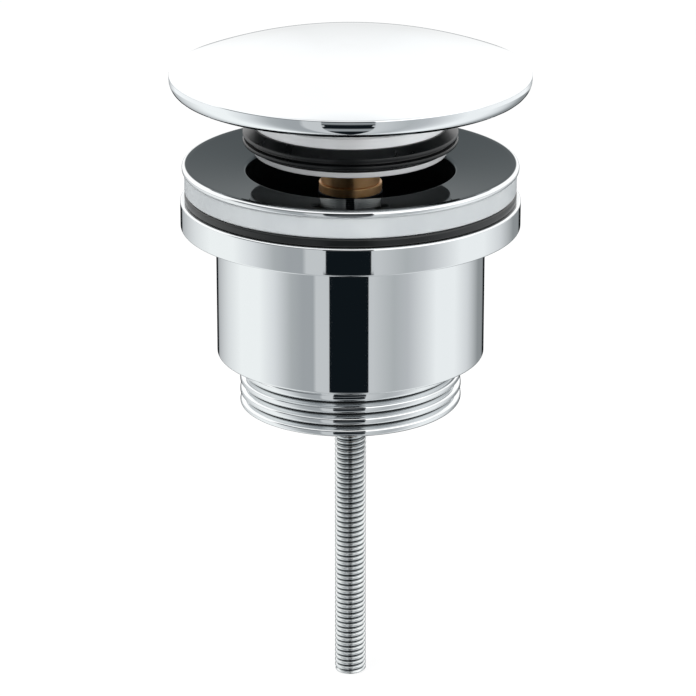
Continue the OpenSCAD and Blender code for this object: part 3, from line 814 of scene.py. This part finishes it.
def spring_rise(turn):
    """Height of the wire's middle: one wire a turn at both ends, and an even rise between."""
    close = SPRING_WIRE * CLOSE_COIL
    first, last = SPRING_WIRE / 2, spring_l - SPRING_WIRE / 2
    steps = [first, first + close, last - close, last]
    return spring_foot + np.interp(turn, [0, 1, SPRING_TURNS - 1, SPRING_TURNS], steps)


spring = finish_piece("coil_spring", "return_spring", "steel", steel,
                      coil(reach("return_spring") - SPRING_WIRE / 2, SPRING_WIRE, spring_rise, SPRING_TURNS))
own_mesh(spring)

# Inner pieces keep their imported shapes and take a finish
FINISHES = {
    brass: ["plug_insert", "plunger_nut", "plunger", "thread_bush"],
    steel: ["thrust_washer", "spring_seat", "screw_washer"],
    acetal: ["index_rotor", "cam_sleeve"],
    rubber: ["plunger_wiper", "screw_seal"],
}
for finish, names in FINISHES.items():
    for name in names:
        mesh = frame["nodes"][name].data
        mesh.materials.clear()
        mesh.materials.append(finish)


# Studio: a white floor, a light tent that only mirrors see and two soft lamps
TENT_R = 350
TENT_GAIN = 1.0 / linear(CHROME)[1]
# Brightness of the tent's wall round the object, from behind over the left and the front to the right
TENT_WALL = [
    (-180, "#888c8e"), (-150, "#aaadaf"), (-125, "#d6d9da"), (-105, "#ecefef"), (-82, "#ecefef"),
    (-66, "#d4d7d9"), (-50, "#a7abad"), (-40, "#9b9fa2"), (-30, "#9b9fa2"), (-29, "#bfc2c4"),
    (18, "#bfc2c4"), (36, "#a9adaf"), (48, "#b3b6b9"), (76, "#e8ebec"), (97, "#e8ebec"),
    (116, "#cdd0d2"), (138, "#888c8e"), (180, "#777b7d"),
]
# Brightness of the gap between the two front panels, by height from straight down to straight up
TENT_GAP = [
    (-90, "#0e1418"), (-52, "#0e1418"), (-47, "#8f9396"), (-32, "#8f9396"), (-27, "#0e1418"),
    (-13.5, "#0e1418"), (-12.5, "#868a8d"), (-9, "#868a8d"), (-7, "#0e1418"), (90, "#0e1418"),
]
# The gap's half widths and its place, in degrees
GAP_HALF = 15.7
GAP_NARROW = 14.1
GAP_SHIFT = 1.3
GAP_BLUR = 0.6
# Borders in the tent: the two angles, in degrees, between which one tone goes over into the next
UPPER_SIDES = (-10, 10)
UPPER_FOOT = (3.5, 7)
NARROW_FOOT = (-17.9, -17.8)
NARROW_TOP = (-14.5, -14)
FRONT_TOP = (30, 36)
RIM_SIDES = (75, 95)
RIM_BACK = (140, 168)
RIM_FOOT = (-15, -13.5)
DARK_SIDES = (152, 157)
DARK_TOP = (-16, -14)
HAZE_SIDES = (164, 176)
HAZE_TOP = (2, 36)
LINE_FOOT = (-9.6, -9.2)
LINE_TOP = (-7, -2.5)
BACK_SIDES = (80, 90)
OVERHEAD = (62, 84)


def emission_material(name):
    """Material with an emission shader, its tree and its shader."""
    material = bpy.data.materials.new(name)
    material.use_nodes = True
    tree = material.node_tree
    tree.nodes.clear()
    shader = add_node(tree, "ShaderNodeEmission")
    add_node(tree, "ShaderNodeOutputMaterial", {"Surface": shader.outputs["Emission"]})
    return material, tree, shader


def tent_fabric():
    """Tent cloth, as tones by bearing and height. In front: panels with a dark gap between them, and
    white above. Behind: a wall with a dark foot, a pale rim, a grey line and a white sky with a haze.
    Straight overhead there is a grey patch."""
    material, tree, shader = emission_material("tent_fabric")
    place = add_node(tree, "ShaderNodeTexCoord").outputs["Object"]
    toward = add_node(tree, "ShaderNodeVectorMath", {0: place}, operation="NORMALIZE").outputs["Vector"]
    axes = add_node(tree, "ShaderNodeSeparateXYZ", {"Vector": toward}).outputs
    ahead = add_node(tree, "ShaderNodeMath", {0: axes["Y"], 1: -1.0}, operation="MULTIPLY").outputs["Value"]
    bearing = add_node(tree, "ShaderNodeMath", {0: axes["X"], 1: ahead}, operation="ARCTAN2").outputs["Value"]
    aside = add_node(tree, "ShaderNodeMath", {0: bearing}, operation="ABSOLUTE").outputs["Value"]
    height = add_node(tree, "ShaderNodeMath", {0: axes["Z"]}, operation="ARCSINE").outputs["Value"]

    def panel(angle, half, table):
        share = {"Value": angle, "From Min": -math.radians(half), "From Max": math.radians(half)}
        share = add_node(tree, "ShaderNodeMapRange", share).outputs["Result"]
        ramp = add_node(tree, "ShaderNodeValToRGB", {"Fac": share})
        stops = ramp.color_ramp.elements
        for degrees, code in table[1:-1]:
            stops.new((degrees + half) / (2 * half))
        for stop, (degrees, code) in zip(stops, table):
            stop.position = (degrees + half) / (2 * half)
            stop.color = linear(code)
        return ramp.outputs["Color"]

    def cover(angle, border, below, above):
        low, high = border
        return blend(tree, angle, math.radians(low), math.radians(high), below, above)

    dark, grey, pale = linear("#0c1013"), linear("#85898c"), linear("#eef0f1")
    wall = panel(bearing, 180, TENT_WALL)
    slit = panel(height, 90, TENT_GAP)
    turn = add_node(tree, "ShaderNodeMath", {0: bearing, 1: math.radians(GAP_SHIFT)}).outputs["Value"]
    turn = add_node(tree, "ShaderNodeMath", {0: turn}, operation="ABSOLUTE").outputs["Value"]
    upper = cover(bearing, UPPER_SIDES, linear("#6f7376"), (1.3, 1.3, 1.3, 1.0))
    front = cover(height, UPPER_FOOT, wall, upper)
    wide = cover(turn, (GAP_HALF, GAP_HALF + GAP_BLUR), slit, front)
    narrow = cover(turn, (GAP_NARROW, GAP_NARROW + GAP_BLUR), slit, front)
    front = cover(height, NARROW_FOOT, wide, cover(height, NARROW_TOP, narrow, wide))
    front = cover(height, FRONT_TOP, front, WHITE)
    rim = cover(aside, RIM_BACK, cover(aside, RIM_SIDES, wall, pale), grey)
    behind = cover(height, RIM_FOOT, wall, rim)
    behind = cover(aside, DARK_SIDES, behind, cover(height, DARK_TOP, dark, behind))
    sky = cover(aside, HAZE_SIDES, WHITE, cover(height, HAZE_TOP, linear("#dcdddd"), WHITE))
    behind = cover(height, LINE_FOOT, behind, cover(height, LINE_TOP, grey, sky))
    cloth = cover(aside, BACK_SIDES, front, behind)
    cloth = cover(height, OVERHEAD, cloth, linear("#a9adb0"))
    tree.links.new(cloth, shader.inputs["Color"])
    shader.inputs["Strength"].default_value = TENT_GAIN
    return material


def reflected_only(thing):
    """Stage piece that only mirrors see."""
    thing.visible_camera = False
    thing.visible_diffuse = False
    thing.visible_transmission = False
    thing.visible_shadow = False


tilt = np.linspace(-np.pi / 2, np.pi / 2, 65)
tent_section = TENT_R * np.stack([np.cos(tilt), np.sin(tilt)], -1)
reflected_only(mesh_of("light_tent", tent_fabric(), [turned(tent_section, 96)]))


def seen_directly(tree):
    """1 on rays from the camera, from mirrors and through glass, and 0 on soft light."""
    path = add_node(tree, "ShaderNodeLightPath").outputs
    seen = path["Is Camera Ray"]
    for kind in ("Is Glossy Ray", "Is Transmission Ray"):
        seen = add_node(tree, "ShaderNodeMath", {0: seen, 1: path[kind]}, operation="MAXIMUM").outputs["Value"]
    return seen


# Floor: half its side in metres, its drop under the screw, the paper's grain and how white it is
FLOOR_HALF = 6.0
FLOOR_DROP = 0.05
PAPER_GRAIN = 40
PAPER_WHITE = 1.1
PAPER_SHARE = 0.8


def floor_paper():
    """White paper: full white to the camera with a fifth of its shading left in, open from below."""
    material = bpy.data.materials.new("white_paper")
    material.use_nodes = True
    tree = material.node_tree
    tree.nodes.clear()
    grain = add_node(tree, "ShaderNodeTexNoise", {"Scale": 1 / (PAPER_GRAIN * MM)}).outputs["Fac"]
    tone = {0: grain, 6: linear("#f6f6f6"), 7: linear("#fbfbfb")}
    shade = add_node(tree, "ShaderNodeMix", tone, data_type="RGBA").outputs[2]
    matt = add_node(tree, "ShaderNodeBsdfDiffuse", {"Color": shade}).outputs["BSDF"]
    white = add_node(tree, "ShaderNodeEmission", {"Strength": PAPER_WHITE}).outputs["Emission"]
    share = {0: seen_directly(tree), 1: PAPER_SHARE}
    share = add_node(tree, "ShaderNodeMath", share, operation="MULTIPLY").outputs["Value"]
    paper = add_node(tree, "ShaderNodeMixShader", {0: share, 1: matt, 2: white}).outputs["Shader"]
    under = add_node(tree, "ShaderNodeNewGeometry").outputs["Backfacing"]
    clear = add_node(tree, "ShaderNodeBsdfTransparent").outputs["BSDF"]
    cut = add_node(tree, "ShaderNodeMixShader", {0: under, 1: paper, 2: clear}).outputs["Shader"]
    add_node(tree, "ShaderNodeOutputMaterial", {"Surface": cut})
    return material


def studio_floor():
    """Flat sheet under the screw's point."""
    side, z = FLOOR_HALF, (screw_end - FLOOR_DROP) * MM
    corners = [(-side, -side, z), (side, -side, z), (side, side, z), (-side, side, z)]
    mesh = bpy.data.meshes.new("studio_floor")
    mesh.from_pydata(corners, [], [(0, 1, 2, 3)])
    mesh.materials.append(floor_paper())
    thing = bpy.data.objects.new("studio_floor", mesh)
    bpy.context.scene.collection.objects.link(thing)
    thing.visible_glossy = False


studio_floor()


def soft_bank(name, size, energy, place):
    """Round soft lamp that faces the object and that mirrors don't see."""
    lamp = bpy.data.lights.new(name, "AREA")
    lamp.shape = "DISK"
    lamp.size = size
    lamp.energy = energy
    bank = bpy.data.objects.new(name, lamp)
    bank.location = place
    bank.rotation_euler = (-bank.location).to_track_quat("-Z", "Y").to_euler()
    bank.visible_glossy = False
    bpy.context.scene.collection.objects.link(bank)


# Each lamp's width in metres, power in watts and place
soft_bank("high_bank", 0.5, 3.0, (-0.45, -0.35, 0.75))
soft_bank("low_bank", 0.25, 3.0, (0.55, -0.75, 0.25))
SOFT_LEVEL = 0.6


def studio_world():
    """White to the camera and to mirrors, and an even soft light for everything else."""
    world = bpy.data.worlds.new("studio_world")
    world.use_nodes = True
    tree = world.node_tree
    tree.nodes.clear()
    level = {"Value": seen_directly(tree), "To Min": SOFT_LEVEL, "To Max": 1.0}
    level = add_node(tree, "ShaderNodeMapRange", level).outputs["Result"]
    sky = add_node(tree, "ShaderNodeBackground", {"Color": WHITE, "Strength": level})
    add_node(tree, "ShaderNodeOutputWorld", {"Surface": sky.outputs["Background"]})
    bpy.context.scene.world = world


studio_world()

lens = bpy.data.cameras.new("camera")
lens.sensor_width = SENSOR
lens.lens = FOCAL_PX / IMAGE_PX * SENSOR
camera = bpy.data.objects.new("camera", lens)
slant = math.hypot(CAMERA_BACK, CAMERA_UP)
sideways = (AXIS_PX - IMAGE_PX / 2) * slant / FOCAL_PX
camera.location = (-sideways * MM, -CAMERA_BACK * MM, CAMERA_UP * MM)
camera.rotation_euler = (math.pi / 2 - CAMERA_PITCH, 0, 0)
lens.clip_start = 0.01
lens.clip_end = 20
bpy.context.scene.collection.objects.link(camera)
bpy.context.scene.camera = camera
bpy.context.scene.view_settings.view_transform = "Standard"
